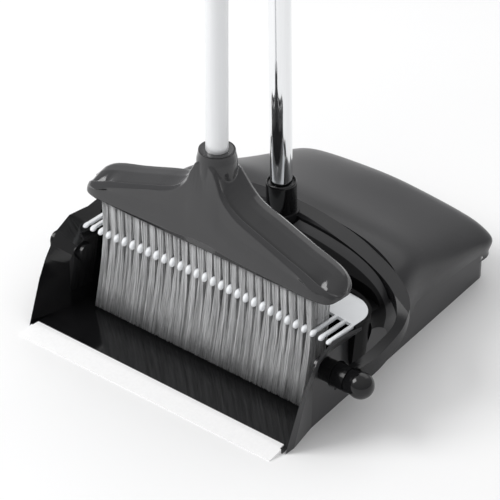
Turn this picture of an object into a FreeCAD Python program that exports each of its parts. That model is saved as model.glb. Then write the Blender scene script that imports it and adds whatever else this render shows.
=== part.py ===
import FreeCAD, Part
import math
import os

# Dust pan and brush set, in millimetres: a lidded pan that swings on a yoke, and a broom parked in it.
# Every "x" below is measured from the middle of the lip and every "y" back from the lip's front edge.
# "at" moves them to the part's own frame: its origin is on the floor, under the middle of the whole set.

# ---- driving dimensions: pan ----
DEPTH = 320.0
LIP_HALF = 132.0
LIP_BACK = 20.0
LIP_FRONT_HEIGHT = 0.8
LIP_TOP = 4.2
TRAY_FRONT = 14.0
TRAY_REAR = 317.0
TRAY_FRONT_HALF = 133.0
TRAY_TAPER = 0.115
TRAY_CORNER = 12.0
TRAY_HEIGHT = 92.0
WALL_LEAN = 0.023
WALL = 2.5
FLOOR = 3.0
CREASE_Y = 55.0
CHEEK_BACK = 104.0
RIM_HALF = 135.5
RIM_LEAN = 0.03
COVER_SKIN = 3.0
CREST_Y = 197.0
POST_R = 4.0
POST_JOINT = 40.0
SCREW_R = 1.5
SCREW_HEAD_R = 3.0
SCREW_TOP = 48.0
SCREW_HOLE_TOP = 50.0
POSTS = [(104.0, 172.0, 69.0), (91.0, 275.0, 70.0)]

# ---- comb ----
TEETH = 31
TOOTH_PITCH = 8.55
TOOTH_WIDTH = 2.4
TOOTH_TIP_Y = 73.5
BULB_R = 1.7
COMB_TOP = 78.7
COMB_THICK = 3.0
COMB_ARCH_R = 1140.0
PLATE_HALF = 129.5
PLATE_FRONT = 105.0
PLATE_BACK = 135.0
PLATE_CORNER = 20.0
DECK_FOOT = 30.0
DECK_EDGE = 3.5
DECK_LEDGE = 4.5
GROOVE_WIDTH = 9.0
GROOVE_FLOOR = 66.0

# ---- pivot and yoke ----
PIVOT_Y = 71.0
PIVOT_Z = 48.5
PIN_R = 5.0
PIN_HEAD_R = 8.0
PIN_HEAD_FACE = 121.8
RUNNING = 0.06
BUSH_R = 9.6
BUSH_OUT = 140.0
WASHER_R = 11.2
WASHER = 1.0
KNUCKLE_R = 10.2
SIDE_GAP = 0.4
CAP_START = 153.5
BALL_CENTRE = 164.0
BALL_R = 11.0
BALL_NECK_R = 10.2
FLAT_CAP_R = 6.5
FLAT_CAP_END = 156.9
YOKE_HALF = 157.5
YOKE_GAP = 1.0
YOKE_CROWN = 93.5
YOKE_ARCH_R = 548.0

# ---- poles ----
TUBE_R = 9.1
TUBE_WALL = 0.8
POLE_SLOPE = 0.022
POLE_FOOT_Y = 170.0
POLE_FOOT_Z = 130.0
SOCKET_R = 12.7
SOCKET_SLEEVE = 2.0
SOCKET_BOTTOM = 80.0
SOCKET_TOP = 121.0
PAN_TUBE_BOTTOM = 84.0
PAN_TUBE_TOP = 900.0
PAN_TOP = 926.0
BROOM_Y = 91.5
BROOM_TUBE_BOTTOM = 152.0
BROOM_TUBE_TOP = 904.0
BROOM_TOP = 930.0
GRIP_LENGTH = 118.0
GRIP_R = 12.5
JOINER_BAND = 10.0
SPIGOT = 30.0
JOINTS = [430.0, 655.0]
HANG_HOLE_R = 4.5
LOOP_R = 12.0
LOOP_THICK = 10.0
CLIP_Z = 745.0
CLIP_HEIGHT = 18.0
CLIP_RING = 3.2
CLIP_BRIDGE = 9.0
CLIP_SCREW_R = 2.0

# ---- broom ----
HEAD_HALF = 130.5
HEAD_FRONT = 72.0
HEAD_BACK = 110.0
HEAD_BOTTOM = 102.7
HEAD_SOCKET_R = 14.8
HEAD_NECK_R = 18.0
HEAD_SOCKET_TOP = 188.0
BLOCK_HALF = 114.0
BLOCK_INSET = 3.0
BLOCK_HEIGHT = 6.0
TUFT_COLUMNS = 26
TUFT_WIDTH = 4.6
TUFT_BOTTOM = 4.6

# The ball on the right reaches further out than the yoke's arm on the left.
CENTRE_X = (BALL_CENTRE + BALL_R - YOKE_HALF) / 2


def at(x, y, z):
    return FreeCAD.Vector(x - CENTRE_X, y - DEPTH / 2, z)


def rounded(points, place):
    """A closed wire through (u, v, radius) corners; a radius of 0 is a sharp corner."""
    ends = []
    edges = []
    count = len(points)
    for i in range(count):
        u, v, r = points[i]
        before = points[i - 1]
        after = points[(i + 1) % count]
        back = FreeCAD.Vector(before[0] - u, before[1] - v, 0).normalize()
        ahead = FreeCAD.Vector(after[0] - u, after[1] - v, 0).normalize()
        corner = FreeCAD.Vector(u, v, 0)
        if r == 0:
            ends.append((corner, None, corner))
            continue
        half = back.getAngle(ahead) / 2
        run = r / math.tan(half)
        middle = (back + ahead).normalize() * (r / math.sin(half) - r)
        ends.append((corner + back * run, corner + middle, corner + ahead * run))
    for i in range(count):
        start, middle, finish = ends[i]
        if middle is not None:
            edges.append(Part.Arc(*[place(p.x, p.y) for p in (start, middle, finish)]).toShape())
        following = ends[(i + 1) % count][0]
        if (following - finish).Length > 1e-6:
            edges.append(Part.makeLine(place(finish.x, finish.y), place(following.x, following.y)))
    return Part.Wire(edges)


def plan_prism(points, z0, z1):
    """An outline seen from above, between two heights."""
    return Part.Face(rounded(points, lambda u, v: at(u, v, z0))).extrude(FreeCAD.Vector(0, 0, z1 - z0))


def side_prism(points, x0, x1):
    """An outline seen from the side, as (y, z) corners, between two widths."""
    return Part.Face(rounded(points, lambda u, v: at(x0, u, v))).extrude(FreeCAD.Vector(x1 - x0, 0, 0))


def front_prism(points, y0, y1):
    """An outline seen from the front, as (x, z) corners, between two depths."""
    return Part.Face(rounded(points, lambda u, v: at(u, y0, v))).extrude(FreeCAD.Vector(0, y1 - y0, 0))


def mirrored(shape):
    return shape.mirror(at(0, 0, 0), FreeCAD.Vector(1, 0, 0))


def cross_rod(r, x0, x1, y=PIVOT_Y, z=PIVOT_Z):
    return Part.makeCylinder(r, x1 - x0, at(x0, y, z), FreeCAD.Vector(1, 0, 0))


def post(r, x, y, z0, z1):
    return Part.makeCylinder(r, z1 - z0, at(x, y, z0))


def spline(points):
    curve = Part.BSplineCurve()
    curve.interpolate(points)
    return curve.toShape()


def single(shape):
    """The largest solid of a boolean result, without its leftover seams."""
    solid = max(shape.Solids, key=lambda s: s.Volume)
    return solid.removeSplitter()


# ---- tray: floor and walls that taper to the rear, with cheeks flared out round the mouth ----
def tray_half(y, z):
    return TRAY_FRONT_HALF - TRAY_TAPER * (y - TRAY_FRONT) + WALL_LEAN * z


def tray_wire(inset, z, front):
    rear = TRAY_REAR - inset
    corner = TRAY_CORNER - inset
    wide = tray_half(front, z) - inset
    narrow = tray_half(rear, z) - inset
    corners = [(-wide, front, 0), (wide, front, 0), (narrow, rear, corner), (-narrow, rear, corner)]
    return rounded(corners, lambda u, v: at(u, v, z))


def tray_block(inset, z0, front):
    return Part.makeLoft([tray_wire(inset, z0, front), tray_wire(inset, TRAY_HEIGHT, front)], True, True)


def side_silhouette():
    """The tray's straight walls from the side: floor alone in the mouth, then the wall behind the crease."""
    return [
        (TRAY_FRONT, 0, 0),
        (TRAY_REAR + 5, 0, 0),
        (TRAY_REAR + 5, 30, 0),
        (200, 43, 20),
        (128, 52, 8),
        (CHEEK_BACK, 56, 4),
        (75, 60, 10),
        (62, 56, 8),
        (CREASE_Y, 46, 6),
        (CREASE_Y, FLOOR, 0),
        (TRAY_FRONT, FLOOR, 0),
    ]


def cheek_block(shift):
    """The space outside a flared cheek: it opens from the crease in the wall out to the rim."""
    crease = [(CREASE_Y, 0), (CREASE_Y, 30), (CREASE_Y, 44), (58, 51), (64, 56), (75, 59), (90, 58)]
    rim = [(15, 0), (29.5, 38), (37.5, 53), (45, 63), (53, 73), (68, 80), (88, 78)]
    crease += [(CHEEK_BACK, 56), (CHEEK_BACK, 0)]
    rim += [(CHEEK_BACK, 74.5), (CHEEK_BACK, 0)]
    inner = [at(tray_half(y, z) + shift, y, z) for y, z in crease]
    outer = [at(RIM_HALF + RIM_LEAN * z + WALL + shift, y, z) for y, z in rim]
    wires = [Part.makePolygon(points + points[:1]) for points in (inner, outer)]
    return Part.makeLoft(wires, True, True)


def make_pan_base():
    hollow = tray_block(WALL, FLOOR, TRAY_FRONT - 20)
    tray = tray_block(0, 0, TRAY_FRONT).cut(hollow)
    tray = tray.common(side_prism(side_silhouette(), -200, 200))
    cheek = cheek_block(-WALL).cut(cheek_block(0))
    tray = tray.fuse(cheek).fuse(mirrored(cheek))
    for x, y, top in POSTS:
        for side in (-1, 1):
            tray = tray.fuse(post(POST_R, side * x, y, FLOOR - 1, POST_JOINT))
            tray = tray.cut(post(SCREW_R, side * x, y, -1, POST_JOINT + 1))
            tray = tray.cut(post(SCREW_HEAD_R, side * x, y, -1, 2))
    tray = tray.cut(cross_rod(PIN_R, -200, 200))
    return single(tray)


def make_front_lip():
    outline = [
        (0, 0, 0),
        (TRAY_FRONT, 0, 0),
        (TRAY_FRONT, FLOOR, 0),
        (LIP_BACK, FLOOR, 0),
        (LIP_BACK, LIP_TOP, 0),
        (LIP_BACK - 4, LIP_TOP, 8),
        (0, LIP_FRONT_HEIGHT, 0),
    ]
    lip = side_prism(outline, -LIP_HALF, LIP_HALF)
    inside = tray_block(WALL + 0.02, FLOOR, TRAY_FRONT)
    ramp = lip.common(Part.makeBox(2 * LIP_HALF, TRAY_FRONT, 10, at(-LIP_HALF, 0, 0)))
    return single(ramp.fuse(lip.common(inside)))


# ---- cover: crowned hood with a channel that the yoke lies in ----
def hood_section(y, half, low, top):
    """An arch closed along its foot: full shoulders at the front that round off towards the rear."""
    front = [(0.97, 0.0), (0.99, 0.28), (1.0, 0.5), (0.94, 0.76), (0.79, 0.91), (0.5, 0.978)]
    rear = [(0.97, 0.0), (0.99, 0.28), (1.0, 0.45), (0.96, 0.58), (0.72, 0.83), (0.35, 0.95)]
    blend = min(max((y - CREST_Y) / (DEPTH - 10 - CREST_Y), 0), 1)
    shape = [(a + (c - a) * blend, b + (d - b) * blend) for (a, b), (c, d) in zip(front, rear)]
    right = [(half * u, low + (top - low) * v) for u, v in shape]
    points = right + [(0, top)] + [(-x, z) for x, z in reversed(right)]
    corners = [at(x, y, z) for x, z in points]
    return Part.Wire([spline(corners), Part.makeLine(corners[-1], corners[0])])


def hood_block():
    stations = [
        (126, 130, 39, 80),
        (150, 127, 37, 84),
        (CREST_Y, 121, 31.5, 90.5),
        (230, 116, 28.5, 81.5),
        (270, 111, 25, 69.5),
        (300, 108, 22, 61),
        (312, 106.5, 21, 56.5),
        (DEPTH, 99, 24, 50),
    ]
    return Part.makeLoft([hood_section(*s) for s in stations], True, False)


def hood_hollow():
    stations = [
        (120, 127, 5, 77),
        (150, 124, 5, 81),
        (CREST_Y, 118, 5, 87),
        (230, 113, 5, 78),
        (270, 108, 5, 66),
        (300, 105, 5, 57.5),
        (310, 103, 5, 52.5),
        (DEPTH - COVER_SKIN, 95, 5, 47),
    ]
    return Part.makeLoft([hood_section(*s) for s in stations], True, True)


def comb_arch(lift, y0, y1):
    """Everything above the comb's arched surface, lifted by a given height."""
    top = COMB_TOP + lift
    drum = Part.makeCylinder(COMB_ARCH_R, y1 - y0, at(0, y0, top - COMB_ARCH_R), FreeCAD.Vector(0, 1, 0))
    return Part.makeBox(400, y1 - y0, 60, at(-200, y0, top - 30)).cut(drum)


def bow(half, middle_y, grow):
    """A plan curve from the right arm round the back to the left one, moved outward by "grow"."""
    right = [(x + grow, y + grow) for x, y in half]
    points = right + [(0, middle_y + grow)] + [(-x, y) for x, y in reversed(right)]
    return [at(x, y, 0) for x, y in points]


def yoke_edge(grow):
    half = [(155, 50), (156.5, 82), (YOKE_HALF, 100), (156.5, 120), (153.5, 140), (146, 154), (126, 169)]
    return bow(half + [(103, 177), (75, 183.5), (40, 188)], 190, grow)


def yoke_inner_edge(grow):
    half = [(146, 50), (147, 82), (147.5, 100), (147.5, 120), (145.5, 136), (138, 147), (126, 155)]
    return bow(half + [(98, 164), (62, 170)], 173, grow)


def yoke_plan(curve):
    """The whole area inside a yoke curve, as a tall block."""
    face = Part.Face(Part.Wire([spline(curve), Part.makeLine(curve[-1], curve[0])]))
    return face.extrude(FreeCAD.Vector(0, 0, 200))


def above_profile(profile):
    """Everything above a curve seen from the side."""
    points = [at(-250, y, z) for y, z in profile]
    first = FreeCAD.Vector(points[0].x, points[0].y, 300)
    last = FreeCAD.Vector(points[-1].x, points[-1].y, 300)
    ends = [Part.makeLine(points[-1], last), Part.makeLine(last, first), Part.makeLine(first, points[0])]
    return Part.Face(Part.Wire([spline(points)] + ends)).extrude(FreeCAD.Vector(500, 0, 0))


def above_underside(drop):
    profile = [(40, 39), (71, 39.3), (94, 42.6), (131, 54), (150, 64), (170, 75), (188, 79), (230, 81)]
    return above_profile([(y, z - drop) for y, z in profile])


def above_top():
    profile = [(40, 57), (71, 57.2), (94, 57), (120, 61.5), (138, 67.5), (150, 76), (163, 86), (180, 95)]
    crown = cylinder_along_y(YOKE_ARCH_R, YOKE_CROWN - YOKE_ARCH_R, 40, 240)
    return above_profile(profile + [(230, 110)]).fuse(Part.makeBox(500, 200, 60, at(-250, 40, 60)).cut(crown))


def cylinder_along_y(r, z, y0, y1):
    return Part.makeCylinder(r, y1 - y0, at(0, y0, z), FreeCAD.Vector(0, 1, 0))


def yoke_channel(gap):
    """The room round the yoke's bow, open upward."""
    ring = yoke_plan(yoke_edge(gap)).cut(yoke_plan(yoke_inner_edge(-gap)))
    return ring.common(above_underside(gap))


def comb_plate_outline(grow, front):
    half = PLATE_HALF + grow
    back = PLATE_BACK + grow
    corner = PLATE_CORNER + grow
    return [(-half, front, 0), (half, front, 0), (half, back, corner), (-half, back, corner)]


def deck():
    """The cover's front frame: a rim round the comb plate with a ledge under it, open to the mouth."""
    foot = rounded(comb_plate_outline(-1.5, CHEEK_BACK), lambda u, v: at(u, v, DECK_FOOT))
    brim = rounded(comb_plate_outline(DECK_EDGE, CHEEK_BACK), lambda u, v: at(u, v, COMB_TOP))
    frame = Part.makeLoft([foot, brim], True, True).cut(comb_arch(0.4, 90, 160))
    frame = frame.cut(plan_prism(comb_plate_outline(0.3, 90), 0, 150).common(comb_arch(-COMB_THICK, 80, 160)))
    frame = frame.cut(plan_prism(comb_plate_outline(-DECK_LEDGE, 90), 0, 150))
    return frame.cut(Part.makeBox(230, 60, 64, at(-115, 100, 0)))


def deck_groove(skin):
    """The sunk moat between the deck's rim and the hood's crest, thickened all round by a skin."""
    around = plan_prism(comb_plate_outline(DECK_EDGE + GROOVE_WIDTH + skin, 90), GROOVE_FLOOR - skin, 150)
    return around.cut(plan_prism(comb_plate_outline(DECK_EDGE - skin, 80), 0, 200))


def make_pan_cover(pan_base):
    hollow = hood_hollow().cut(yoke_channel(YOKE_GAP + COVER_SKIN)).cut(deck_groove(COVER_SKIN))
    seat = plan_prism(comb_plate_outline(0.3, 90), 0, 150)
    shell = hood_block().cut(hollow).cut(deck_groove(0)).cut(seat)
    shell = shell.fuse(deck()).cut(yoke_channel(YOKE_GAP))
    for x, y, top in POSTS:
        for side in (-1, 1):
            shell = shell.fuse(post(POST_R, side * x, y, POST_JOINT, top).common(hood_block()))
            shell = shell.cut(post(SCREW_R, side * x, y, 0, SCREW_HOLE_TOP))
    shell = shell.cut(post(SOCKET_R + SOCKET_SLEEVE + 3, 0, POLE_FOOT_Y, SOCKET_BOTTOM - 3, 130))
    return single(shell.cut(pan_base))


def make_cover_screws():
    screws = []
    for x, y, top in POSTS:
        for side in (-1, 1):
            shank = post(SCREW_R, side * x, y, 1.5, SCREW_TOP)
            screws.append(shank.fuse(post(SCREW_HEAD_R, side * x, y, 0.4, 2)))
    return Part.Compound(screws)


# ---- comb: an arched plate and its teeth ----
def make_comb_plate():
    plate = plan_prism(comb_plate_outline(0, PLATE_FRONT), 40, 100)
    plate = plate.common(comb_arch(-COMB_THICK, 100, 170))
    return single(plate.cut(comb_arch(0, 90, 180)))


def tooth_top(x):
    return COMB_TOP - COMB_ARCH_R + math.sqrt(COMB_ARCH_R**2 - x**2)


def make_comb_teeth():
    teeth = []
    start = TOOTH_TIP_Y + BULB_R
    for i in range(TEETH):
        x = (i - (TEETH - 1) / 2) * TOOTH_PITCH
        low = tooth_top(x) - COMB_THICK
        corner = at(x - TOOTH_WIDTH / 2, start, low)
        bar = Part.makeBox(TOOTH_WIDTH, PLATE_FRONT - start, COMB_THICK, corner)
        bulb = Part.makeSphere(BULB_R, at(x, start, low + COMB_THICK / 2))
        teeth.append(single(bar.fuse(bulb)))
    return Part.Compound(teeth)


# ---- pivots: bush, pin and washer each side, a ball on the right and a flat cap on the left ----
def make_pivot_bush(pan_base):
    bush = cross_rod(BUSH_R, LIP_HALF - 20, BUSH_OUT)
    bush = bush.cut(tray_block(-0.02, 0, TRAY_FRONT)).cut(pan_base)
    return single(bush.cut(cross_rod(PIN_R, LIP_HALF - 30, BUSH_OUT + 5)))


def make_pivot_pin(end):
    head = cross_rod(PIN_HEAD_R, PIN_HEAD_FACE, LIP_HALF)
    head = head.common(tray_block(WALL + 0.02, FLOOR, TRAY_FRONT))
    return single(head.fuse(cross_rod(PIN_R, PIN_HEAD_FACE + 1, end)))


def make_pivot_washer():
    """A thin ring with a small locating tab under it."""
    tab = Part.makeBox(WASHER, 5, 5, at(BUSH_OUT, PIVOT_Y - 2.5, PIVOT_Z - WASHER_R - 2.5))
    ring = cross_rod(WASHER_R, BUSH_OUT, BUSH_OUT + WASHER).fuse(tab)
    return single(ring.cut(cross_rod(PIN_R, BUSH_OUT - 1, BUSH_OUT + 5)))


def make_ball_cap():
    ball = Part.makeSphere(BALL_R, at(BALL_CENTRE, PIVOT_Y, PIVOT_Z))
    cap = ball.fuse(cross_rod(BALL_NECK_R, CAP_START, BALL_CENTRE))
    cap = cap.cut(cross_rod(BALL_R + 1, CAP_START - 5, CAP_START))
    return single(cap.cut(cross_rod(PIN_R, CAP_START - 5, BALL_CENTRE)))


def make_flat_cap():
    cap = cross_rod(FLAT_CAP_R, CAP_START, FLAT_CAP_END)
    return cap.cut(cross_rod(PIN_R, CAP_START - 5, FLAT_CAP_END - 1))


# ---- yoke: the bail that carries the pan's pole ----
def pole_y(z):
    return POLE_FOOT_Y - POLE_SLOPE * (z - POLE_FOOT_Z)


def pole_rod(r, z0, z1):
    start = at(0, pole_y(z0), z0)
    along = at(0, pole_y(z1), z1) - start
    return Part.makeCylinder(r, along.Length, start, along)


def make_yoke():
    """A bow lying in the cover's channel, two arms with bored knuckles, and a boss for the pole's socket."""
    band = yoke_plan(yoke_edge(0)).cut(yoke_plan(yoke_inner_edge(0)))
    band = band.common(above_underside(0)).cut(above_top())
    band = band.cut(Part.makeBox(500, 80, 200, at(-250, PIVOT_Y - 80, 0)))
    start = BUSH_OUT + WASHER + SIDE_GAP
    finish = CAP_START - SIDE_GAP
    beyond = cross_rod(BALL_R + SIDE_GAP, finish, 200)
    knuckle = cross_rod(KNUCKLE_R, start, finish)
    bore = cross_rod(PIN_R + RUNNING, start - 5, finish + 5)
    band = band.cut(beyond).cut(mirrored(beyond))
    band = band.fuse(knuckle).fuse(mirrored(knuckle))
    band = band.cut(bore).cut(mirrored(bore))
    boss = pole_rod(SOCKET_R + SOCKET_SLEEVE, SOCKET_BOTTOM, YOKE_CROWN + 1)
    return single(band.fuse(boss).cut(pole_rod(SOCKET_R, SOCKET_BOTTOM - 10, YOKE_CROWN + 10)))


def make_pole_socket():
    socket = pole_rod(SOCKET_R, SOCKET_BOTTOM, SOCKET_TOP)
    socket = socket.cut(pole_rod(SOCKET_R - 1.6, SOCKET_TOP - 2.5, SOCKET_TOP + 5))
    return single(socket.cut(pole_rod(TUBE_R, PAN_TUBE_BOTTOM, SOCKET_TOP)))


# ---- poles: three tubes with flush joiners, a soft grip and an end cap with a hole to hang by ----
def broom_y(z):
    """The broom's pole stands upright, so its depth is the same at every height."""
    return BROOM_Y


def broom_rod(r, z0, z1):
    return Part.makeCylinder(r, z1 - z0, at(0, BROOM_Y, z0))


def tube(rod, z0, z1):
    return rod(TUBE_R, z0, z1).cut(rod(TUBE_R - TUBE_WALL, z0 - 5, z1 + 5))


def joiner(rod, z):
    band = rod(TUBE_R, z, z + JOINER_BAND)
    spigot = rod(TUBE_R - TUBE_WALL, z - SPIGOT, z + JOINER_BAND + SPIGOT)
    return single(band.fuse(spigot).cut(rod(TUBE_R - TUBE_WALL - 2, z - SPIGOT - 5, z + SPIGOT + 20)))


def grip(rod, top):
    """A soft sleeve with shallow finger rings."""
    low = top - GRIP_LENGTH
    sleeve = rod(GRIP_R, low, top)
    for i in range(7):
        z = low + 14 + i * 15
        groove = rod(GRIP_R + 1, z, z + 3).cut(rod(GRIP_R - 0.9, z - 1, z + 4))
        sleeve = sleeve.cut(groove)
    return single(sleeve.cut(rod(TUBE_R, low - 5, top + 5)))


def end_cap(rod, tube_top, top, y):
    """A plug in the tube with a flattened loop on top, whose eye is at depth y."""
    plug = rod(TUBE_R - TUBE_WALL, tube_top - 22, tube_top)
    flange = rod(GRIP_R, tube_top, tube_top + 4)
    z = top - LOOP_R
    loop = cross_rod(LOOP_R, -LOOP_THICK / 2, LOOP_THICK / 2, y, z)
    neck = Part.makeBox(LOOP_THICK, 20, z - tube_top, at(-LOOP_THICK / 2, y - 10, tube_top))
    cap = plug.fuse(flange).fuse(loop).fuse(neck)
    return single(cap.cut(cross_rod(HANG_HOLE_R, -LOOP_THICK, LOOP_THICK, y, z)))


def make_pole(rod, y_at, bottom, top, summit, name):
    """Tubes, joiners, grip and cap of one pole, by node name."""
    ends = [bottom] + [z + JOINER_BAND for z in JOINTS]
    tops = JOINTS + [top]
    parts = {}
    for label, z0, z1 in zip(("lower", "middle", "upper"), ends, tops):
        parts[f"{name}_tube_{label}"] = tube(rod, z0, z1)
    for label, z in zip(("lower", "upper"), JOINTS):
        parts[f"{name}_joiner_{label}"] = joiner(rod, z)
    parts[f"{name}_grip"] = grip(rod, top)
    parts[f"{name}_end_cap"] = end_cap(rod, top, summit, y_at(summit - LOOP_R))
    return parts


# ---- clip on the pan's pole that holds the broom's pole ----
def make_pole_clip():
    z0 = CLIP_Z - CLIP_HEIGHT / 2
    z1 = CLIP_Z + CLIP_HEIGHT / 2
    pan_y = pole_y(CLIP_Z)
    ring = pole_rod(TUBE_R + CLIP_RING, z0, z1)
    jaw = broom_rod(TUBE_R + CLIP_RING, z0, z1)
    bridge = Part.makeBox(CLIP_BRIDGE, pan_y - BROOM_Y, CLIP_HEIGHT, at(-CLIP_BRIDGE / 2, BROOM_Y, z0))
    clip = ring.fuse(jaw).fuse(bridge)
    clip = clip.cut(pole_rod(TUBE_R, z0 - 5, z1 + 5)).cut(broom_rod(TUBE_R + RUNNING, z0 - 5, z1 + 5))
    mouth = Part.makeBox(14, 20, CLIP_HEIGHT + 2, at(-7, BROOM_Y - 24, z0 - 1))
    clip = clip.cut(mouth)
    return single(clip.cut(clip_screw_rod(CLIP_SCREW_R, -20, 20)))


def clip_screw_rod(r, x0, x1):
    """A rod across the clip's bridge, just in front of the pan's pole."""
    return cross_rod(r, x0, x1, pole_y(CLIP_Z) - TUBE_R - CLIP_RING - 4, CLIP_Z)


def make_clip_screw():
    half = CLIP_BRIDGE / 2
    return clip_screw_rod(CLIP_SCREW_R, -half, half).fuse(clip_screw_rod(3.6, half, half + 2.1))


# ---- broom: moulded head with a neck socket, bristle block and tufts ----
def make_broom_head():
    half = [(HEAD_HALF - 4.5, HEAD_BOTTOM, 3), (HEAD_HALF, 108, 3), (HEAD_HALF - 1.5, 115, 6), (HEAD_HALF - 11, 127, 8)]
    half.append((86, 135, 60))
    neck = [(36, 145, 30), (20, 159, 12), (HEAD_NECK_R, 168, 0), (HEAD_NECK_R, HEAD_SOCKET_TOP, 0)]
    right = half + neck
    front = front_prism(right + [(-x, z, r) for x, z, r in reversed(right)], HEAD_FRONT, HEAD_BACK)
    side = side_prism(
        [
            (HEAD_FRONT, HEAD_BOTTOM, 2),
            (HEAD_BACK, HEAD_BOTTOM, 2),
            (HEAD_BACK, 114, 12),
            (HEAD_BACK - 1, 150, 0),
            (HEAD_BACK - 1, HEAD_SOCKET_TOP, 0),
            (HEAD_FRONT + 1, HEAD_SOCKET_TOP, 0),
            (HEAD_FRONT + 1, 150, 0),
            (HEAD_FRONT, 114, 12),
        ],
        -HEAD_HALF - 5,
        HEAD_HALF + 5,
    )
    head = front.common(side)
    cone = Part.makeCone(HEAD_NECK_R, HEAD_SOCKET_R, 12, at(0, BROOM_Y, HEAD_SOCKET_TOP - 14))
    neck_column = broom_rod(HEAD_NECK_R, 140, HEAD_SOCKET_TOP - 14).fuse(cone)
    neck_column = neck_column.fuse(broom_rod(HEAD_SOCKET_R, HEAD_SOCKET_TOP - 4, HEAD_SOCKET_TOP))
    head = head.cut(Part.makeBox(80, 80, 60, at(-40, 50, 160))).fuse(neck_column)
    head = head.cut(plan_prism(block_outline(), HEAD_BOTTOM - 1, HEAD_BOTTOM + BLOCK_HEIGHT))
    hollow = Part.makeBox(190, 24, 14, at(-95, HEAD_FRONT + 7, HEAD_BOTTOM + BLOCK_HEIGHT - 1))
    head = head.cut(hollow)
    return single(head.cut(broom_rod(TUBE_R, BROOM_TUBE_BOTTOM, HEAD_SOCKET_TOP + 5)))


def block_outline():
    front = HEAD_FRONT + BLOCK_INSET
    back = HEAD_BACK - BLOCK_INSET
    return [(-BLOCK_HALF, front, 8), (BLOCK_HALF, front, 8), (BLOCK_HALF, back, 8), (-BLOCK_HALF, back, 8)]


def make_bristle_block():
    return plan_prism(block_outline(), HEAD_BOTTOM, HEAD_BOTTOM + BLOCK_HEIGHT)


def make_bristles():
    """One flat tuft in each gap between the comb's teeth, combed forward at the floor."""
    tufts = []
    side = [(65, TUFT_BOTTOM), (88, TUFT_BOTTOM), (98, 60), (104, HEAD_BOTTOM), (75.5, HEAD_BOTTOM), (76, 72)]
    outline = [(y, z, 0) for y, z in side]
    for i in range(TUFT_COLUMNS):
        x = (i - (TUFT_COLUMNS - 1) / 2) * TOOTH_PITCH
        tufts.append(side_prism(outline, x - TUFT_WIDTH / 2, x + TUFT_WIDTH / 2))
    return Part.Compound(tufts)


def make_broom_tube_plug():
    """The plug that closes the tube's foot inside the head's socket."""
    return broom_rod(TUBE_R - TUBE_WALL, BROOM_TUBE_BOTTOM, BROOM_TUBE_BOTTOM + 26)


def main():
    os.makedirs("parts", exist_ok=True)
    pan_base = make_pan_base()
    nodes = {
        "pan_base": pan_base,
        "front_lip": make_front_lip(),
        "pan_cover": make_pan_cover(pan_base),
        "cover_screws": make_cover_screws(),
        "comb_plate": make_comb_plate(),
        "comb_teeth": make_comb_teeth(),
        "pivot_bush_right": make_pivot_bush(pan_base),
        "pivot_pin_right": make_pivot_pin(BALL_CENTRE),
        "pivot_washer_right": make_pivot_washer(),
        "pivot_cap_right": make_ball_cap(),
        "pivot_bush_left": mirrored(make_pivot_bush(pan_base)),
        "pivot_pin_left": mirrored(make_pivot_pin(FLAT_CAP_END - 1)),
        "pivot_washer_left": mirrored(make_pivot_washer()),
        "pivot_cap_left": mirrored(make_flat_cap()),
        "yoke": make_yoke(),
        "pole_socket": make_pole_socket(),
        "pole_clip": make_pole_clip(),
        "clip_screw": make_clip_screw(),
        "broom_head": make_broom_head(),
        "bristle_block": make_bristle_block(),
        "bristles": make_bristles(),
        "broom_tube_plug": make_broom_tube_plug(),
    }
    nodes.update(make_pole(pole_rod, pole_y, PAN_TUBE_BOTTOM, PAN_TUBE_TOP, PAN_TOP, "pan"))
    nodes.update(make_pole(broom_rod, broom_y, BROOM_TUBE_BOTTOM, BROOM_TUBE_TOP, BROOM_TOP, "broom"))
    for name, shape in nodes.items():
        shape.exportStep(f"parts/{name}.step")
        box = shape.BoundBox
        volume = shape.Volume / 1000
        print(f"{name:20s} solids {len(shape.Solids):3d} valid {shape.isValid()} {volume:8.2f} cm3", box)


main()
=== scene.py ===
import math
import random

import bmesh
import bpy
from mathutils import Matrix, Vector


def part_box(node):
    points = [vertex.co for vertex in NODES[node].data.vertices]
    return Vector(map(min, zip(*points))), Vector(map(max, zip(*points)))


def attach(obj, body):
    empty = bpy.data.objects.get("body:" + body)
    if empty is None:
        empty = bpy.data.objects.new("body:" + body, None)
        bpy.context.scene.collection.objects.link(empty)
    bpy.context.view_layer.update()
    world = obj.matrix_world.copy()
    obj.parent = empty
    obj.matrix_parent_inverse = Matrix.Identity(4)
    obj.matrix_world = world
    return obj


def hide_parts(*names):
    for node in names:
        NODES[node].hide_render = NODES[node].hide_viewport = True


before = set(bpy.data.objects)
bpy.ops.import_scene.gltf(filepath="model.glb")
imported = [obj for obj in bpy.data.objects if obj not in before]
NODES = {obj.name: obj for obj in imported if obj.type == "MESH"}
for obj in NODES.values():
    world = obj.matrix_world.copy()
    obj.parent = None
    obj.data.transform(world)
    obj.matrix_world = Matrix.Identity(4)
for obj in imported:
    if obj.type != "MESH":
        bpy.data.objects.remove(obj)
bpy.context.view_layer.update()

MM = 0.001

# ---- places: everything is laid out in millimetres from the middle of the lip's front edge ----
LIP_LOW, LIP_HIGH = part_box("front_lip")
CENTRE_X = (LIP_LOW.x + LIP_HIGH.x) / 2
FRONT_Y = LIP_LOW.y


def at(x, y, z):
    return Vector((CENTRE_X + x * MM, FRONT_Y + y * MM, z * MM))


def span(node):
    """A node's box in the lip's millimetres: lows and highs."""
    low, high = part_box(node)
    shift = Vector((CENTRE_X, FRONT_Y, 0))
    return (low - shift) / MM, (high - shift) / MM


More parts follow.
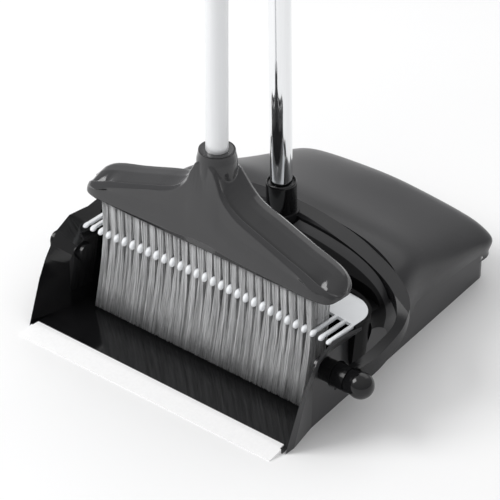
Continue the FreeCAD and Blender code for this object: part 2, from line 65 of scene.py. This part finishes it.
# ---- mesh helpers ----
def new_piece(name, verts, faces, body, material):
    """A smooth-shaded mesh piece that rides on one body."""
    mesh = bpy.data.meshes.new(name)
    mesh.from_pydata([tuple(v) for v in verts], [], faces)
    mesh.validate()
    piece = bpy.data.objects.new(name, mesh)
    bpy.context.collection.objects.link(piece)
    work = bmesh.new()
    work.from_mesh(mesh)
    bmesh.ops.recalc_face_normals(work, faces=work.faces)
    work.to_mesh(mesh)
    work.free()
    for polygon in mesh.polygons:
        polygon.use_smooth = True
    mesh.materials.append(material)
    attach(piece, body)
    return piece


def tube_faces(rings, around, first=0):
    """Quads between equal closed rings of vertices, with an end face on the first and last ring."""
    faces = []
    for i in range(rings - 1):
        for j in range(around):
            a = first + i * around + j
            b = first + i * around + (j + 1) % around
            faces.append((a, b, b + around, a + around))
    faces.append(tuple(first + j for j in reversed(range(around))))
    faces.append(tuple(first + (rings - 1) * around + j for j in range(around)))
    return faces


def lathe(profile, base, axis, around=64):
    """A profile of (radius, height) pairs turned about an axis; radius 0 isn't used, ends are closed."""
    along = Vector(axis).normalized()
    side = along.orthogonal().normalized()
    other = along.cross(side)
    verts = []
    for r, h in profile:
        for j in range(around):
            turn = 2 * math.pi * j / around
            spoke = side * math.cos(turn) + other * math.sin(turn)
            verts.append(base + along * (h * MM) + spoke * (r * MM))
    return verts, tube_faces(len(profile), around)


def softened(profile, r=0.5):
    """The same profile with each corner cut into a small round."""
    points = [profile[0]]
    for before, corner, after in zip(profile, profile[1:], profile[2:]):
        p, c, n = Vector(before), Vector(corner), Vector(after)
        cut = min(r, (p - c).length * 0.45, (n - c).length * 0.45)
        a = c + (p - c).normalized() * cut
        b = c + (n - c).normalized() * cut
        for t in (0.0, 0.33, 0.67, 1.0):
            points.append(tuple(a.lerp(c, t).lerp(c.lerp(b, t), t)))
    points.append(profile[-1])
    return points


def add_bevel(piece, width, segments=3, angle=35):
    bevel = piece.modifiers.new("Bevel", "BEVEL")
    bevel.width = width * MM
    bevel.segments = segments
    bevel.limit_method = "ANGLE"
    bevel.angle_limit = math.radians(angle)
    bevel.use_clamp_overlap = True
    bevel.harden_normals = False


# ---- materials ----
def new_material(name):
    material = bpy.data.materials.new(name)
    material.use_nodes = True
    tree = material.node_tree
    shader = tree.nodes["Principled BSDF"]
    return material, tree, shader


def texture_space(tree, stretch=(1, 1, 1)):
    coords = tree.nodes.new("ShaderNodeTexCoord")
    mapping = tree.nodes.new("ShaderNodeMapping")
    mapping.inputs["Scale"].default_value = stretch
    tree.links.new(coords.outputs["Object"], mapping.inputs["Vector"])
    return mapping.outputs["Vector"]


def noise_node(tree, vector, scale, detail=3.0, roughness=0.5):
    node = tree.nodes.new("ShaderNodeTexNoise")
    node.inputs["Scale"].default_value = scale
    node.inputs["Detail"].default_value = detail
    node.inputs["Roughness"].default_value = roughness
    tree.links.new(vector, node.inputs["Vector"])
    return node.outputs["Fac"]


def ramp_node(tree, value, stops):
    node = tree.nodes.new("ShaderNodeValToRGB")
    ramp = node.color_ramp
    while len(ramp.elements) < len(stops):
        ramp.elements.new(0.5)
    for element, (place, colour) in zip(ramp.elements, stops):
        element.position = place
        element.color = (*colour, 1)
    tree.links.new(value, node.inputs["Fac"])
    return node.outputs["Color"]


def spread_node(tree, value, low, high):
    """Maps a noise value, which mostly lies between 0.3 and 0.7, to low..high."""
    node = tree.nodes.new("ShaderNodeMapRange")
    node.inputs["From Min"].default_value = 0.3
    node.inputs["From Max"].default_value = 0.7
    node.inputs["To Min"].default_value = low
    node.inputs["To Max"].default_value = high
    tree.links.new(value, node.inputs["Value"])
    return node.outputs["Result"]


def bump_node(tree, shader, value, height, distance=0.001):
    node = tree.nodes.new("ShaderNodeBump")
    node.inputs["Strength"].default_value = height
    node.inputs["Distance"].default_value = distance
    tree.links.new(value, node.inputs["Height"])
    tree.links.new(node.outputs["Normal"], shader.inputs["Normal"])


def shade(colour, factor):
    return tuple(min(1.0, c * factor) for c in colour)


def plastic(name, colour, rough, sheen=0.5, coat=0.0):
    """Moulded plastic: faint cloudy colour, uneven gloss and a very fine skin."""
    material, tree, shader = new_material(name)
    space = texture_space(tree)
    cloud = noise_node(tree, space, 26.0)
    fine = noise_node(tree, space, 900.0, 2.0)
    tint = ramp_node(tree, cloud, [(0.35, shade(colour, 0.96)), (0.65, shade(colour, 1.04))])
    tree.links.new(tint, shader.inputs["Base Color"])
    tree.links.new(spread_node(tree, cloud, rough * 0.95, rough * 1.05), shader.inputs["Roughness"])
    shader.inputs["Specular IOR Level"].default_value = sheen
    shader.inputs["Coat Weight"].default_value = coat
    shader.inputs["Coat Roughness"].default_value = 0.06
    bump_node(tree, shader, fine, 0.02, 0.0002)
    return material


def mask_node(tree, value, low, high):
    """0 below "low", 1 above "high"."""
    node = tree.nodes.new("ShaderNodeMapRange")
    node.inputs["From Min"].default_value = low
    node.inputs["From Max"].default_value = high
    tree.links.new(value, node.inputs["Value"])
    return node.outputs["Result"]


def axis_node(tree, kind, axis):
    """One coordinate of the surface's own position or direction."""
    coords = tree.nodes.new("ShaderNodeTexCoord")
    parts = tree.nodes.new("ShaderNodeSeparateXYZ")
    tree.links.new(coords.outputs[kind], parts.inputs["Vector"])
    return parts.outputs[axis]


def math_node(tree, operation, a, b=None, constant=0.0):
    node = tree.nodes.new("ShaderNodeMath")
    node.operation = operation
    tree.links.new(a, node.inputs[0])
    if b is None:
        node.inputs[1].default_value = constant
    else:
        tree.links.new(b, node.inputs[1])
    return node.outputs[0]


def two_tone_plastic(name, mask_of, colours, roughs, sheens):
    """A moulding with one look where the mask is 0 and another where it is 1."""
    material, tree, shader = new_material(name)
    mask = mask_of(tree)
    space = texture_space(tree)
    cloud = noise_node(tree, space, 26.0)
    tints = []
    for colour in colours:
        tints.append(ramp_node(tree, cloud, [(0.35, shade(colour, 0.95)), (0.65, shade(colour, 1.05))]))
    blend = tree.nodes.new("ShaderNodeMix")
    blend.data_type = "RGBA"
    tree.links.new(mask, blend.inputs["Factor"])
    sockets = [socket for socket in blend.inputs if socket.type == "RGBA"]
    for tint, socket in zip(tints, sockets):
        tree.links.new(tint, socket)
    result = [socket for socket in blend.outputs if socket.type == "RGBA"][0]
    tree.links.new(result, shader.inputs["Base Color"])
    for levels, socket_name in ((roughs, "Roughness"), (sheens, "Specular IOR Level")):
        level = tree.nodes.new("ShaderNodeMapRange")
        level.inputs["To Min"].default_value, level.inputs["To Max"].default_value = levels
        tree.links.new(mask, level.inputs["Value"])
        tree.links.new(level.outputs["Result"], shader.inputs[socket_name])
    bump_node(tree, shader, noise_node(tree, space, 900.0, 2.0), 0.02, 0.0002)
    return material


def painted_inner_shade_mask(tree):
    """1 on faces turned away from the pan's middle, 0 on the ones turned inward or up, where the pan's
    inside is painted black as painted shade.
    """
    offset = math_node(tree, "SUBTRACT", axis_node(tree, "Object", "X"), constant=CENTRE_X)
    side = math_node(tree, "SIGN", offset)
    outward = math_node(tree, "MULTIPLY", side, axis_node(tree, "Normal", "X"))
    return mask_node(tree, outward, 0.25, 0.45)


def behind_knuckle(tree):
    """0 on the yoke's knuckles, 1 on its arms and bow."""
    border = at(0, KNUCKLE_BACK, 0).y
    return mask_node(tree, axis_node(tree, "Object", "Y"), border - MM, border + MM)


def painted_moat_shade_mask(tree):
    """0 on the frame and moat round the comb plate, which get painted shade as matte black, 1 from the
    hood's crest backward; the border bows.
    """
    offset = math_node(tree, "SUBTRACT", axis_node(tree, "Object", "X"), constant=CENTRE_X)
    square = math_node(tree, "MULTIPLY", offset, offset)
    bow = math_node(tree, "MULTIPLY", square, constant=CREST_BOW)
    bowed = math_node(tree, "ADD", bow, axis_node(tree, "Object", "Y"))
    border = at(0, CREST_FRONT, 0).y
    return mask_node(tree, bowed, border - 0.3 * MM, border + 0.3 * MM)


def metal(name, colour, rough, metallic=1.0, brushed=0.005):
    """Drawn tube: fine streaks along its length."""
    material, tree, shader = new_material(name)
    space = texture_space(tree, (1, 1, 0.02))
    streak = noise_node(tree, space, 700.0, 2.0)
    tint = ramp_node(tree, streak, [(0.3, shade(colour, 0.985)), (0.7, shade(colour, 1.01))])
    tree.links.new(tint, shader.inputs["Base Color"])
    tree.links.new(spread_node(tree, streak, rough * 0.95, rough * 1.05), shader.inputs["Roughness"])
    shader.inputs["Metallic"].default_value = metallic
    bump_node(tree, shader, streak, brushed, 0.0001)
    return material


def rubber(name, colour, rough):
    material, tree, shader = new_material(name)
    space = texture_space(tree)
    speckle = noise_node(tree, space, 420.0, 4.0)
    tint = ramp_node(tree, speckle, [(0.3, shade(colour, 0.98)), (0.7, shade(colour, 1.02))])
    tree.links.new(tint, shader.inputs["Base Color"])
    tree.links.new(spread_node(tree, speckle, rough * 0.9, rough * 1.1), shader.inputs["Roughness"])
    bump_node(tree, shader, speckle, 0.04, 0.0002)
    return material


def fibre(name, dark, light):
    """Bristle fibre: every strand gets its own shade, streaked lengthwise."""
    material, tree, shader = new_material(name)
    space = texture_space(tree, (1, 0.12, 0.008))
    streak = noise_node(tree, space, 1500.0, 2.0, 0.7)
    tint = ramp_node(tree, streak, [(0.34, dark), (0.62, light)])
    tree.links.new(tint, shader.inputs["Base Color"])
    tree.links.new(spread_node(tree, streak, 0.35, 0.55), shader.inputs["Roughness"])
    return material


KNUCKLE_BACK = 83.0
CREST_FRONT = 163.5
CREST_BOW = 0.94
CHARCOAL = (0.028, 0.028, 0.0295)
# BLACK is the black parts' own colour, and also stands as painted shade on the pan's inside and in the
# moat round the comb plate
BLACK = (0.006, 0.006, 0.0065)
WHITE = (0.88, 0.90, 0.92)
HEAD_CHARCOAL = (0.029, 0.029, 0.0305)
YOKE_CHARCOAL = (0.015, 0.015, 0.016)
FLANK_GREY = (0.045, 0.045, 0.047)
# the frame and moat round the comb plate are painted matte black with little sheen as painted shade of
# the recess; the hood behind keeps its charcoal
hood_plastic_painted_shade = two_tone_plastic(
    "hood_plastic_painted_shade", painted_moat_shade_mask, (BLACK, CHARCOAL), roughs=(0.45, 0.3), sheens=(0.06, 0.28)
)
head_charcoal = plastic("head_plastic", HEAD_CHARCOAL, 0.14, sheen=0.34, coat=0.3)
black_gloss = plastic("black_gloss_plastic", BLACK, 0.12, sheen=0.4)
black_satin = plastic("black_satin_plastic", BLACK, 0.3, sheen=0.3)
yoke_plastic = two_tone_plastic(
    "yoke_plastic", behind_knuckle, (BLACK, YOKE_CHARCOAL), roughs=(0.15, 0.22), sheens=(0.22, 0.2)
)
# one moulding: the faces turned inward or up are painted black as painted shade, the outer flanks keep
# the grey plastic colour
pan_plastic = two_tone_plastic(
    "pan_plastic", painted_inner_shade_mask, (BLACK, FLANK_GREY), roughs=(0.09, 0.28), sheens=(0.5, 0.4)
)
comb_white = plastic("comb_plastic", WHITE, 0.35, sheen=0.4)
lip_white = rubber("lip_rubber", (0.93, 0.93, 0.93), 0.5)
grip_rubber = rubber("grip_rubber", (0.04, 0.04, 0.042), 0.6)
chrome = metal("chrome_tube", (0.86, 0.87, 0.88), 0.07)
silver = metal("silver_tube", (0.83, 0.84, 0.85), 0.36, metallic=0.4, brushed=0.0)
zinc = metal("zinc_screw", (0.62, 0.62, 0.63), 0.3)
bristle_fibre = fibre("bristle_fibre", (0.36, 0.362, 0.366), (0.78, 0.785, 0.79))

CARRIED = {
    "pan_base": (pan_plastic, 0.8),
    "pan_cover": (hood_plastic_painted_shade, 0.8),
    "front_lip": (lip_white, 0.0),
    "comb_plate": (comb_white, 0.5),
    "yoke": (yoke_plastic, 1.2),
    "cover_screws": (zinc, 0.0),
    "clip_screw": (zinc, 0.3),
    "pole_clip": (black_satin, 0.6),
    "bristle_block": (black_satin, 0.0),
    "broom_tube_plug": (black_satin, 0.0),
    "pivot_bush_right": (black_gloss, 0.5),
    "pivot_bush_left": (black_gloss, 0.5),
    "pivot_pin_right": (black_gloss, 0.8),
    "pivot_pin_left": (black_gloss, 0.8),
    "pivot_washer_right": (black_gloss, 0.2),
    "pivot_washer_left": (black_gloss, 0.2),
    "pivot_cap_right": (black_gloss, 0.2),
    "pivot_cap_left": (black_gloss, 0.8),
}
for pole, tube_metal in (("pan", chrome), ("broom", silver)):
    for part in ("lower", "middle", "upper"):
        CARRIED[f"{pole}_tube_{part}"] = (tube_metal, 0.0)
    for part in ("lower", "upper"):
        CARRIED[f"{pole}_joiner_{part}"] = (black_satin, 0.3)
    CARRIED[f"{pole}_end_cap"] = (black_satin, 0.8)


def dress_cad_nodes():
    for name, (material, bevel) in CARRIED.items():
        node = NODES[name]
        node.data.materials.clear()
        node.data.materials.append(material)
        if bevel:
            add_bevel(node, bevel)


# ---- the broom's head: a sculpted bar with a ridge, a groove behind it, and a neck ----
HEAD_LOW, HEAD_HIGH = span("broom_head")
TUBE_LOW, TUBE_HIGH = span("broom_tube_lower")
NECK_Y = (TUBE_LOW.y + TUBE_HIGH.y) / 2
HEAD_HALF = (HEAD_HIGH.x - HEAD_LOW.x) / 2
HEAD_CROWN = HEAD_HIGH.z
HEAD_STATIONS = 121
HEAD_VOXEL = 0.6
HEAD_RELAXING = 3


def through(points, x):
    """A smooth curve through (x, value) pairs, read at x."""
    if x <= points[0][0]:
        return points[0][1]
    for i in range(len(points) - 1):
        x0, v0 = points[i]
        x1, v1 = points[i + 1]
        if x <= x1:
            t = (x - x0) / (x1 - x0)
            before = points[max(i - 1, 0)]
            after = points[min(i + 2, len(points) - 1)]
            m0 = (v1 - before[1]) / (x1 - before[0]) * (x1 - x0)
            m1 = (after[1] - v0) / (after[0] - x0) * (x1 - x0)
            return (
                (2 * t**3 - 3 * t**2 + 1) * v0
                + (t**3 - 2 * t**2 + t) * m0
                + (3 * t**2 - 2 * t**3) * v1
                + (t**3 - t**2) * m1
            )
    return points[-1][1]


def head_section(x):
    """The head's closed outline, as (y, z) points, at a distance x from its middle."""
    far = abs(x)
    top = through(HEAD_TOP, far)
    ridge = through(HEAD_RIDGE, far)
    front = through(HEAD_FRONT, far)
    back = through(HEAD_BACK, far)
    foot = through(HEAD_FOOT_LINE, far)
    lean = through(HEAD_LEAN, far)
    groove = through(HEAD_GROOVE, far)
    facet = through(HEAD_FACET, far)
    depth = back - front
    rise = ridge - foot
    return [
        (front + 1.2, foot),
        (front, foot + 0.10 * rise),
        (front + 0.10 * lean, foot + 0.36 * rise),
        (front + 0.30 * lean, foot + 0.62 * rise),
        (front + lean - facet, ridge - facet * 1.1),
        (front + lean, ridge),
        (front + lean + 0.9, ridge),
        (front + lean + 1.5, ridge - groove * 0.8),
        (front + lean + 3.0, ridge - groove),
        (front + lean + 5.5, ridge - groove * 0.6 + (top - ridge) * 0.16),
        (front + lean + (depth - lean) * 0.48, ridge + (top - ridge) * 0.60),
        (front + lean + (depth - lean) * 0.70, ridge + (top - ridge) * 0.92),
        (back - 5.5, top - 0.3),
        (back - 1.6, top - 3.4),
        (back - 0.1, foot + (top - foot) * 0.62),
        (back, foot + (top - foot) * 0.25),
        (back - 1.2, foot),
        (front + depth * 0.66, foot),
        (front + depth * 0.33, foot),
    ]


HEAD_TOP = [(0, 174), (8, 173), (14, 169), (19, 163), (26, 155.5), (36, 148.5), (55, 142), (87, 131)]
HEAD_TOP += [(112, 123.5), (124, 118), (130.2, 110.5)]
HEAD_RIDGE = [(0, 182), (8, 180), (13, 173), (17, 162.5), (24, 154), (36, 146), (58, 138), (85, 128.5)]
HEAD_RIDGE += [(102, 123), (118, 116.5), (126, 111.5), (130.2, 107.5)]
HEAD_FRONT = [(0, 72.3), (108, 72.3), (122, 74.5), (128, 79), (130.2, 86)]
HEAD_BACK = [(0, 109.7), (108, 109.7), (122, 107.5), (128, 103), (130.2, 97)]
HEAD_FOOT_LINE = [(0, 102.8), (120, 102.8), (127, 103.4), (130.2, 105)]
HEAD_LEAN = [(0, 5.0), (20, 4.5), (110, 4.5), (130.2, 3.0)]
HEAD_GROOVE = [(0, 0.3), (12, 0.6), (20, 3.0), (32, 4.6), (98, 5.0), (112, 6.0), (122, 3.0), (130.2, 0.0)]
HEAD_FACET = [(0, 1.0), (20, 2.6), (70, 3.0), (98, 3.8), (112, 5.4), (122, 3.0), (130.2, 0.8)]
NECK_PROFILE = [
    (12.0, 150.0),
    (15.5, 156.0),
    (16.6, 164.0),
    (16.6, 174.0),
    (16.2, 180.0),
    (15.0, 185.5),
    (14.8, 187.8),
    (12.0, 187.9),
]
COLLAR_PROFILE = [(9.4, -3.0), (13.6, -3.0), (14.7, -1.6), (14.7, 0.0)]
COLLAR_PROFILE += [(13.4, 0.0), (10.2, -1.6), (9.4, -1.7)]


def dimple(point):
    """The spoon-like hollow at each end of the groove."""
    far = abs(point.x)
    gap = ((far - 112) / 8.0) ** 2 + ((point.y - 82.5) / 5.0) ** 2
    if point.z > 108:
        return Vector((0, 0.8, -3.0)) * math.exp(-gap * 1.4)
    return Vector((0, 0, 0))


def make_head():
    verts = []
    for i in range(HEAD_STATIONS):
        t = -1 + 2 * i / (HEAD_STATIONS - 1)
        x = (HEAD_HALF - 0.1) * math.sin(t * math.pi / 2)
        for y, z in head_section(x):
            point = Vector((x, y, z))
            verts.append(at(*(point + dimple(point))))
    faces = tube_faces(HEAD_STATIONS, len(head_section(0)))
    neck_verts, neck_faces = lathe(NECK_PROFILE, at(0, NECK_Y, 0), (0, 0, 1), 72)
    base = len(verts)
    verts += neck_verts
    faces += [tuple(base + v for v in face) for face in neck_faces]
    head = new_piece("broom_head_shell", verts, faces, "broom", head_charcoal)
    remesh = head.modifiers.new("Remesh", "REMESH")
    remesh.mode = "VOXEL"
    remesh.voxel_size = HEAD_VOXEL * MM
    remesh.use_smooth_shade = True
    relax = head.modifiers.new("Smooth", "SMOOTH")
    relax.factor = 0.5
    relax.iterations = HEAD_RELAXING
    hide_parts("broom_head")
    # the recessed collar where the tube enters
    mouth = at(0, NECK_Y, HEAD_CROWN)
    collar_verts, collar_faces = lathe(softened(COLLAR_PROFILE, 0.5), mouth, (0, 0, 1), 72)
    new_piece("broom_head_collar", collar_verts, collar_faces, "broom", black_gloss)


# ---- the comb's teeth: serrated bars with a drop-shaped tip ----
TEETH = 31
PLATE_LOW, PLATE_HIGH = span("comb_plate")
TEETH_LOW, TEETH_HIGH = span("comb_teeth")
TOOTH_HALF = 1.7
TOOTH_PITCH = (TEETH_HIGH.x - TEETH_LOW.x - 2 * TOOTH_HALF) / (TEETH - 1)
TOOTH_REACH = 2.4
TOOTH_SHAPE = 0.7
TOOTH_AROUND = 14
NOTCHES = 12
TOOTH_THICK = 3.2
DROP_LENGTH = 7.0
DROP_HEIGHT = 7.5
# along the drop-shaped tip: how far in, half width, and how far its top and bottom lie below the comb
DROP = [(0.0, 0.6, 0.5, 0.72), (0.08, 1.5, 0.34, 0.94), (0.22, 2.1, 0.2, 1.0), (0.42, 2.35, 0.07, 0.95)]
DROP += [(0.66, 2.2, 0.0, 0.76), (0.85, 1.9, 0.0, 0.55)]


def comb_top(x):
    """The height of the comb's arched top at x."""
    edge = (PLATE_HIGH.x - PLATE_LOW.x) / 2
    drop = PLATE_HIGH.z - 3.0 - PLATE_LOW.z
    return PLATE_HIGH.z - drop * (x / edge) ** 2


def make_tooth(x, serrated):
    """Rings along the tooth, from the drop at its tip, over the notches, to its root at the plate."""
    top = comb_top(x)
    drop = min(DROP_HEIGHT, top - TEETH_LOW.z - 0.2)
    tip = TEETH_LOW.y + 0.15
    root = PLATE_LOW.y + 0.5
    rings = []
    for t, half, high, low in DROP:
        rings.append((tip + t * DROP_LENGTH, half, top - high * drop, top - low * drop))
    start = tip + DROP_LENGTH
    step = (root - start) / NOTCHES
    waist = 0.95 if serrated else 1.9
    for i in range(NOTCHES):
        y = start + i * step
        rings.append((y, waist, top, top - TOOTH_THICK))
        rings.append((y + step * 0.4, 2.1, top, top - TOOTH_THICK))
        rings.append((y + step * 0.6, 2.1, top, top - TOOTH_THICK))
    rings.append((root, 1.9, top, top - TOOTH_THICK))
    verts = []
    for y, half, high, low in rings:
        middle, tall = (high + low) / 2, (high - low) / 2
        for j in range(TOOTH_AROUND):
            turn = 2 * math.pi * j / TOOTH_AROUND
            c, s = math.cos(turn), math.sin(turn)
            across = half * math.copysign(abs(c) ** TOOTH_SHAPE, c)
            up = tall * math.copysign(abs(s) ** TOOTH_SHAPE, s)
            verts.append(at(x + across, y, middle + up))
    return verts, tube_faces(len(rings), TOOTH_AROUND)


def make_teeth():
    verts, faces = [], []
    edge = TEETH_HIGH.x - TOOTH_REACH
    for i in range(TEETH):
        x = max(-edge, min(edge, (i - (TEETH - 1) / 2) * TOOTH_PITCH))
        tooth_verts, tooth_faces = make_tooth(x, abs(x) < edge)
        base = len(verts)
        verts += tooth_verts
        faces += [tuple(base + v for v in face) for face in tooth_faces]
    teeth = new_piece("comb_teeth_serrated", verts, faces, "pan", comb_white)
    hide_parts("comb_teeth")


# ---- bristles: fine strands in tufts that stand between the teeth ----
TUFTS = 26
STRANDS = 300
BRISTLE_LOW, BRISTLE_HIGH = span("bristles")
STRAND_HALF = 0.17
STRAND_SIDES = 3
STRAND_SEED = 7
# below this height a strand is free of the comb, down to its tip
FREE_TOP = 72.0
FREE_LENGTH = 67.0
# how far a tuft fans out to each side: at the block, between the teeth, and at the floor
TUFT_HALVES = [(4.0, 4.2), (40.0, 3.9), (60.0, 3.2), (72.0, 2.3), (82.0, 2.9), (103.0, 3.5)]


def strand_path(depth, tip_z):
    """The middle line of a strand from the block down to its tip; depth 0 is the front of the tuft."""
    top_y = 76.2 + depth * 27.0
    comb_y = 76.8 + depth * 22.5
    foot_y = 65.6 + depth * 21.5
    lead = comb_y - foot_y
    return [
        (103.0, top_y),
        (88.0, (top_y + comb_y) / 2),
        (76.0, comb_y),
        (68.0, comb_y - lead * 0.03),
        (50.0, comb_y - lead * 0.2),
        (28.0, comb_y - lead * 0.55),
        (tip_z, foot_y),
    ]


def make_bristles():
    rng = random.Random(STRAND_SEED)
    verts, faces = [], []
    for i in range(TUFTS):
        centre = (i - (TUFTS - 1) / 2) * TOOTH_PITCH
        for _ in range(STRANDS):
            depth = rng.random() ** 2
            off = rng.uniform(-1, 1)
            splay = rng.gauss(0, 0.3)
            tip = BRISTLE_LOW.z + 0.2 + abs(rng.gauss(0, 0.9))
            drift = rng.gauss(0, 0.25)
            spin = rng.uniform(0, math.pi)
            base = len(verts)
            path = strand_path(depth, tip)
            for z, y in path:
                free = max(0.0, (FREE_TOP - z) / FREE_LENGTH)
                px = centre + off * through(TUFT_HALVES, z) + splay * free
                px = max(BRISTLE_LOW.x + 0.3, min(BRISTLE_HIGH.x - 0.3, px))
                py = max(BRISTLE_LOW.y + 0.3, y + drift * free)
                r = STRAND_HALF * (1.0 - 0.25 * free)
                for j in range(STRAND_SIDES):
                    turn = spin + 2 * math.pi * j / STRAND_SIDES
                    verts.append(at(px + r * math.cos(turn), py + r * math.sin(turn), z))
            faces += tube_faces(len(path), STRAND_SIDES, base)
    bristles = new_piece("bristle_strands", verts, faces, "broom", bristle_fibre)
    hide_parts("bristles")


# ---- turned pieces ----
GRIP_RINGS = 13
POLE_BODIES = {"pan": "yoke", "broom": "broom"}


def pole_line(node):
    """Foot and direction of a straight tube, from its own vertices."""
    mesh = NODES[node].data
    low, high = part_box(node)
    band = (high.z - low.z) * 0.02
    ends = []
    for level, sign in ((low.z, 1), (high.z, -1)):
        near = [v.co for v in mesh.vertices if (v.co.z - level) * sign < band]
        xs = [c.x for c in near]
        ys = [c.y for c in near]
        ends.append(Vector(((min(xs) + max(xs)) / 2, (min(ys) + max(ys)) / 2, level)))
    return ends[0], (ends[1] - ends[0]).normalized()


def make_ball_cap():
    """The knob on the right: a short drum that runs straight into a ball."""
    low, high = span("pivot_cap_right")
    ball = (high.z - low.z) / 2 - 0.05
    centre = high.x - low.x - ball - 0.05
    profile = [(5.2, 0.0), (9.6, 0.0), (10.1, 0.5)]
    for i in range(17):
        angle = math.radians(-22 + (89 + 22) * i / 16)
        profile.append((ball * math.cos(angle), centre + ball * math.sin(angle)))
    base = at(low.x, (low.y + high.y) / 2, (low.z + high.z) / 2)
    verts, faces = lathe(profile, base, (1, 0, 0), 72)
    knob = new_piece("pivot_ball_turned", verts, faces, "pan", black_gloss)
    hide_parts("pivot_cap_right")


def make_pole_socket():
    low, high = span("pole_socket")
    foot, along = pole_line("pan_tube_lower")
    base = foot + along * (low.z * MM + 0.0003 - foot.z)
    tall = high.z - low.z - 0.6
    profile = [(9.3, 0.0), (12.3, 0.0), (12.6, 2.0), (12.6, tall - 1.2)]
    profile += [(11.9, tall), (11.2, tall), (10.9, tall - 2.6), (9.3, tall - 2.8)]
    verts, faces = lathe(softened(profile, 0.7), base, along, 72)
    socket = new_piece("pole_socket_turned", verts, faces, "yoke", black_gloss)
    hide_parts("pole_socket")


def make_grip(pole):
    node = f"{pole}_grip"
    low, high = span(node)
    foot, along = pole_line(f"{pole}_tube_upper")
    base = foot + along * (low.z * MM + 0.0003 - foot.z)
    tall = high.z - low.z - 0.6
    profile = [(9.4, 0.0), (11.2, 0.0), (12.0, 2.0)]
    for i in range(GRIP_RINGS):
        h = 6 + (tall - 12) * i / (GRIP_RINGS - 1)
        profile += [(12.3, h - 2.6), (12.3, h - 1.2), (11.3, h - 0.5)]
        profile += [(11.3, h + 0.5), (12.3, h + 1.2), (12.3, h + 2.6)]
    profile += [(12.0, tall - 2.0), (11.2, tall), (9.4, tall)]
    verts, faces = lathe(softened(profile, 0.4), base, along, 64)
    body = POLE_BODIES[pole]
    grip = new_piece(f"{pole}_grip_ringed", verts, faces, body, grip_rubber)
    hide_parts(node)


# ---- stage ----
def make_floor():
    size = 4.0
    cells = 8
    verts = []
    for i in range(cells + 1):
        for j in range(cells + 1):
            verts.append((-size + 2 * size * i / cells, -size + 2 * size * j / cells, 0))
    faces = []
    for i in range(cells):
        for j in range(cells):
            a = i * (cells + 1) + j
            faces.append((a, a + cells + 1, a + cells + 2, a + 1))
    mesh = bpy.data.meshes.new("floor")
    mesh.from_pydata(verts, [], faces)
    floor = bpy.data.objects.new("floor", mesh)
    bpy.context.collection.objects.link(floor)
    material, tree, shader = new_material("studio_floor")
    space = texture_space(tree)
    soft = noise_node(tree, space, 3.0, 1.0)
    tint = ramp_node(tree, soft, [(0.3, (0.90, 0.90, 0.90)), (0.7, (0.92, 0.92, 0.92))])
    tree.links.new(tint, shader.inputs["Base Color"])
    shader.inputs["Roughness"].default_value = 0.7
    shader.inputs["Specular IOR Level"].default_value = 0.1
    mesh.materials.append(material)


def area_light(name, place, aim, size, power):
    light = bpy.data.lights.new(name, "AREA")
    light.shape = "RECTANGLE"
    light.size, light.size_y = size
    light.energy = power
    lamp = bpy.data.objects.new(name, light)
    lamp.location = place
    lamp.rotation_mode = "QUATERNION"
    lamp.rotation_quaternion = (Vector(aim) - Vector(place)).to_track_quat("-Z", "Y")
    bpy.context.collection.objects.link(lamp)


def make_sky():
    """A soft grey surround that brightens upward."""
    world = bpy.data.worlds.new("studio")
    world.use_nodes = True
    tree = world.node_tree
    background = tree.nodes["Background"]
    coords = tree.nodes.new("ShaderNodeTexCoord")
    height = tree.nodes.new("ShaderNodeSeparateXYZ")
    tree.links.new(coords.outputs["Generated"], height.inputs["Vector"])
    greys = [(0.0, (0.55, 0.55, 0.56)), (0.25, (0.62, 0.62, 0.63)), (1.0, (0.95, 0.95, 0.95))]
    sky = ramp_node(tree, height.outputs["Z"], greys)
    tree.links.new(sky, background.inputs["Color"])
    background.inputs["Strength"].default_value = 0.85
    bpy.context.scene.world = world


def make_lights():
    area_light("key", (-1.7, -1.5, 2.1), (0, 0, 0.05), (1.5, 1.5), 50)
    area_light("rear", (-0.4, 2.2, 2.2), (0, 0.1, 0.05), (3.0, 2.0), 16)
    bpy.context.scene.view_settings.view_transform = "Standard"


# ---- camera: where the picture was taken from ----
CAMERA_AZIMUTH = math.radians(40.349)
CAMERA_ELEVATION = math.radians(33.402)
CAMERA_ROLL = math.radians(0.129)
CAMERA_TARGET = (-71.9, 216.2, 0)
CAMERA_DISTANCE = 3.338
CAMERA_LENS = 288
CAMERA_SENSOR = 36


def make_camera():
    a, e, r = CAMERA_AZIMUTH, CAMERA_ELEVATION, CAMERA_ROLL
    back = Vector((math.sin(a) * math.cos(e), -math.cos(a) * math.cos(e), math.sin(e)))
    right = Vector((math.cos(a), math.sin(a), 0))
    up = back.cross(right)
    right, up = right * math.cos(r) + up * math.sin(r), up * math.cos(r) - right * math.sin(r)
    matrix = Matrix((right, up, back)).transposed().to_4x4()
    matrix.translation = at(*CAMERA_TARGET) + back * CAMERA_DISTANCE
    data = bpy.data.cameras.new("camera")
    data.lens = CAMERA_LENS
    data.sensor_width = CAMERA_SENSOR
    data.clip_end = 50
    camera = bpy.data.objects.new("camera", data)
    bpy.context.collection.objects.link(camera)
    camera.matrix_world = matrix
    bpy.context.scene.camera = camera


dress_cad_nodes()
make_head()
make_teeth()
make_bristles()
make_ball_cap()
make_pole_socket()
make_grip("pan")
make_grip("broom")
make_floor()
make_sky()
make_lights()
make_camera()
